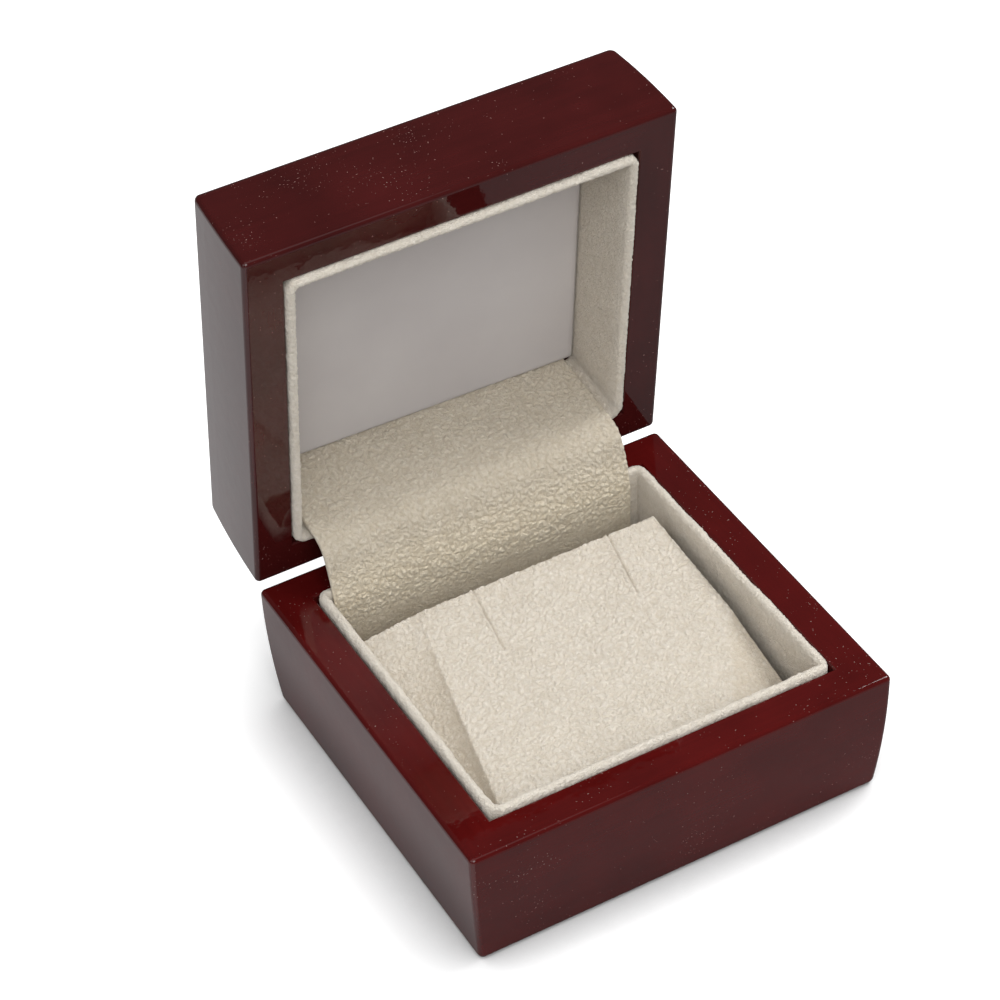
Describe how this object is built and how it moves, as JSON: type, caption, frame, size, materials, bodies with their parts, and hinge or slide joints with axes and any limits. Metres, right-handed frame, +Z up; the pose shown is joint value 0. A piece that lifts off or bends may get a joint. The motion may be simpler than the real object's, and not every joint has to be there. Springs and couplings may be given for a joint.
{
  "type": "ring box",
  "caption": "Lacquered wooden ring box with a sprung hinged lid, flock-wrapped lining, slotted padded insert and a soft flap that covers the hinges.",
  "frame": {"origin": "middle of the resting face, the underside of the felt under the base", "axes": "+Z up, +Y towards the hinges at the back, +X to the right as seen from the front; modelled with the lid open"},
  "size_m": [0.075, 0.0891, 0.0954],
  "materials": {
    "lacquered_wood": "deep red-brown stain under high-gloss clear lacquer",
    "cream_flock": "short cream flock with a pebbled nap",
    "satin_card": "smooth pale grey satin over card",
    "foam": "open-cell foam, matte",
    "base_felt": "dark red felt, matte",
    "hinge_brass": "bright rolled brass",
    "hinge_steel": "drawn steel wire, satin"
  },
  "bodies": {
    "base": {"base_front_wall": "lacquered_wood", "base_back_wall": "lacquered_wood", "base_left_wall": "lacquered_wood", "base_right_wall": "lacquered_wood", "base_bottom_panel": "lacquered_wood", "base_felt": "base_felt", "base_lining": "cream_flock", "insert_pad": "cream_flock", "insert_foam": "foam", "hinge_cover_flap": "cream_flock", "left_hinge_base_leaf": "hinge_brass", "right_hinge_base_leaf": "hinge_brass", "left_hinge_pin": "hinge_steel", "right_hinge_pin": "hinge_steel", "left_hinge_spring": "hinge_steel", "right_hinge_spring": "hinge_steel", "base_hinge_screws": "hinge_brass"},
    "lid": {"lid_front_wall": "lacquered_wood", "lid_back_wall": "lacquered_wood", "lid_left_wall": "lacquered_wood", "lid_right_wall": "lacquered_wood", "lid_top_panel": "lacquered_wood", "lid_lining": "cream_flock", "lid_pad": "satin_card", "left_hinge_lid_leaf": "hinge_brass", "right_hinge_lid_leaf": "hinge_brass", "lid_hinge_screws": "hinge_brass"}
  },
  "joints": [
    {"name": "lid_hinge", "type": "hinge", "parent": "base", "child": "lid", "pos_m": [0, 0.0352, 0.02435], "axis": [1, 0, 0], "range_deg": [0, 83.4], "deforming": ["hinge_cover_flap", "left_hinge_spring", "right_hinge_spring"]}
  ]
}
